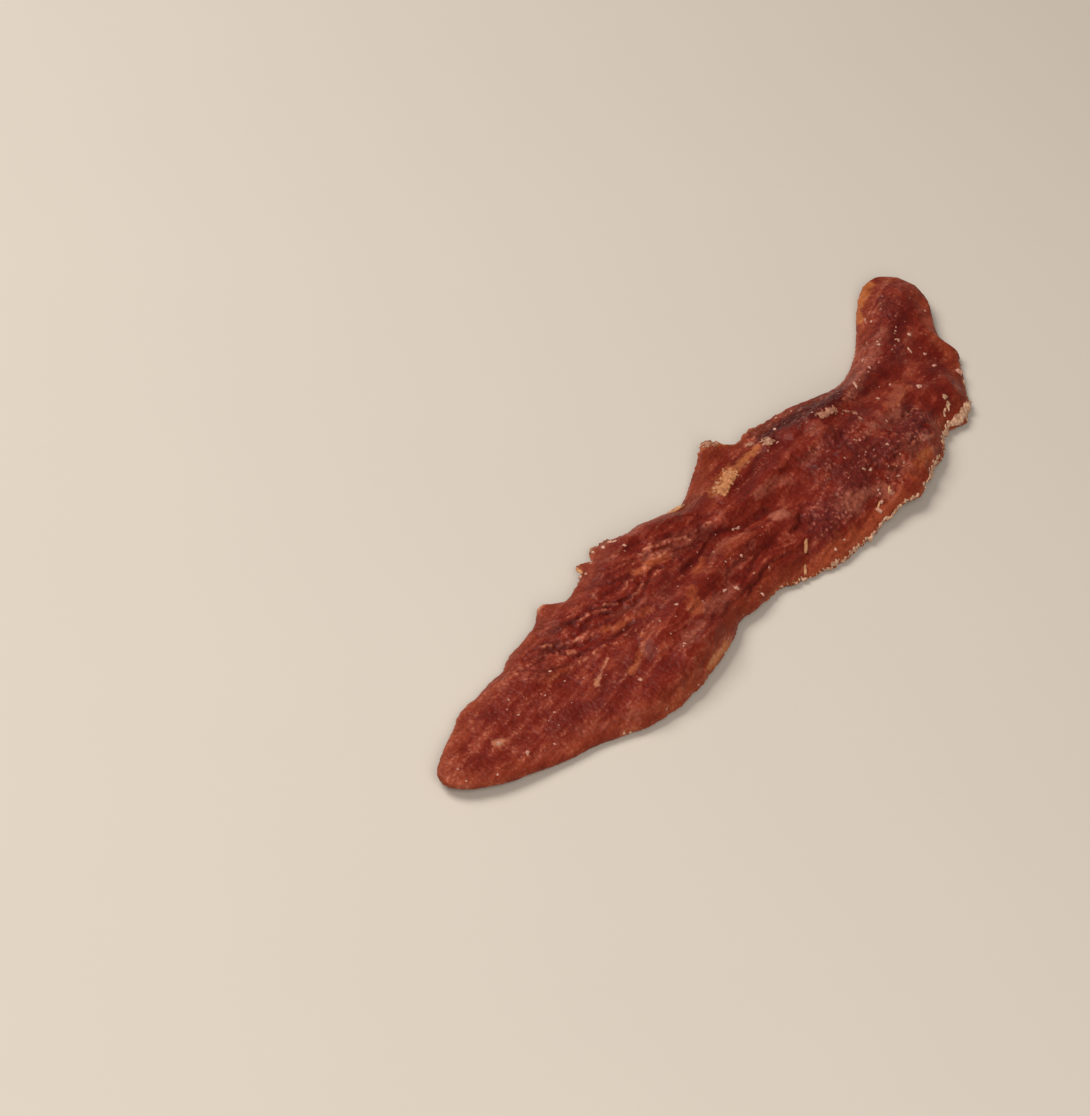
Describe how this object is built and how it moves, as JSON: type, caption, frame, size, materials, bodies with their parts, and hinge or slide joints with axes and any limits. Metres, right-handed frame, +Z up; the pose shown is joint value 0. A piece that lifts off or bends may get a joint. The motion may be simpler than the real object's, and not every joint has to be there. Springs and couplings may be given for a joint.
{
  "type": "beef jerky dog treat",
  "caption": "Thin torn strip of air-dried beef with a tapered tail, a blunt bent head, fibre furrows and curled dry rims; lies flat as a dog treat.",
  "frame": {"origin": "middle of the strip's footprint, on the surface it rests on", "axes": "+X along the strip from the narrow tail to the blunt head, +Y across it towards the lobed far edge, +Z up out of the shown side"},
  "size_m": [0.13, 0.0318, 0.0066],
  "materials": {
    "dried_meat": "dry, matt to faintly waxy, wine red to amber meat"
  },
  "bodies": {
    "root": {"jerky_strip": "dried_meat"}
  },
  "joints": []
}
